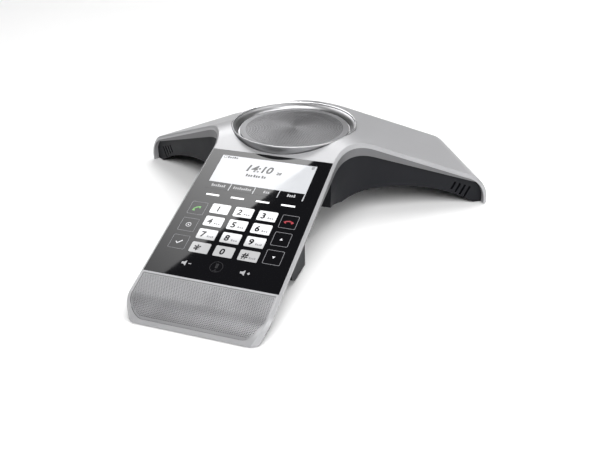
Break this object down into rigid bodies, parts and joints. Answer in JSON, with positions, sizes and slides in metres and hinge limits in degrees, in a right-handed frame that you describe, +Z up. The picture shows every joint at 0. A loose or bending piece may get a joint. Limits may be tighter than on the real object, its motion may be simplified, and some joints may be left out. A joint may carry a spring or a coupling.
{
  "type": "tabletop conference phone",
  "caption": "Cordless conference phone with arched arms, a round loudspeaker under a perforated grille, a sloping touch glass keypad with display, and slotted microphone tips.",
  "frame": {"origin": "middle of the footprint, on the table under the object", "axes": "+Z up; the keypad leg points along -Y, towards the user; +X to the user's right"},
  "size_m": [0.2908, 0.2934, 0.0638],
  "materials": {
    "cover_silver": "satin silver paint on moulded plastic",
    "frame_grey": "satin mid grey paint",
    "housing_dark": "fine matt texture",
    "ring_metal": "circular brushed",
    "grille_metal": "perforated, satin",
    "front_grille_metal": "perforated, satin silver",
    "acoustic_cloth": "black acoustic cloth",
    "black_glass": "polished, back printed black",
    "display_face": "polished display window, backlit",
    "key_white": "white printed key face under the polish",
    "board_green": "solder mask",
    "shield_metal": "tinned sheet",
    "chip_black": "moulded epoxy",
    "cell_dark": "display cell",
    "light_guide": "white light guide",
    "driver_steel": "black coated steel",
    "magnet_ferrite": "sintered ferrite and plated steel",
    "cone_paper": "coated paper",
    "coil_copper": "enamelled copper winding",
    "rubber_black": "matt rubber",
    "foam_black": "open foam",
    "battery_wrap": "heat shrink wrap",
    "contact_metal": "gold flashed spring",
    "label_grey": "blank printed label",
    "screw_steel": "black zinc"
  },
  "bodies": {
    "root": {"top_cover": "cover_silver", "middle_frame": "frame_grey", "lower_housing": "housing_dark", "front_grille": "front_grille_metal", "front_grille_cloth": "acoustic_cloth", "speaker_ring": "ring_metal", "speaker_grille": "grille_metal", "speaker_cloth": "acoustic_cloth", "speaker_enclosure": "housing_dark", "speaker_magnet": "magnet_ferrite", "speaker_basket": "driver_steel", "speaker_surround": "rubber_black", "speaker_spider": "cone_paper", "speaker_gasket": "foam_black", "glass_panel": "black_glass", "display_window": "display_face", "key_faces": "key_white", "soft_key_bars": "key_white", "display_cell": "cell_dark", "display_backlight": "light_guide", "touch_board": "board_green", "main_board": "board_green", "shield_can": "shield_metal", "processor": "chip_black", "power_board": "board_green", "radio_module": "shield_metal", "antenna": "board_green", "right_microphone": "shield_metal", "left_microphone": "shield_metal", "front_microphone": "shield_metal", "right_mic_boot": "rubber_black", "left_mic_boot": "rubber_black", "front_mic_boot": "rubber_black", "right_slot_mesh": "acoustic_cloth", "left_slot_mesh": "acoustic_cloth", "usb_port": "shield_metal", "battery_pack": "battery_wrap", "battery_contacts": "contact_metal", "front_foot": "rubber_black", "right_foot": "rubber_black", "left_foot": "rubber_black", "housing_screws": "screw_steel"},
    "cone": {"speaker_cone": "cone_paper", "voice_coil": "coil_copper", "dust_cap": "cone_paper"},
    "door": {"battery_door": "housing_dark", "rating_plate": "label_grey"}
  },
  "joints": [
    {"name": "cone_travel", "type": "slide", "parent": "root", "child": "cone", "axis": [0, 0, 1], "range_m": [-0.0015, 0.0015], "stiffness_N_per_m": 1500, "deforming": ["speaker_surround", "speaker_spider"]},
    {"name": "door_slide", "type": "slide", "parent": "root", "child": "door", "axis": [0, -1, 0], "range_m": [0, 0.014]}
  ]
}
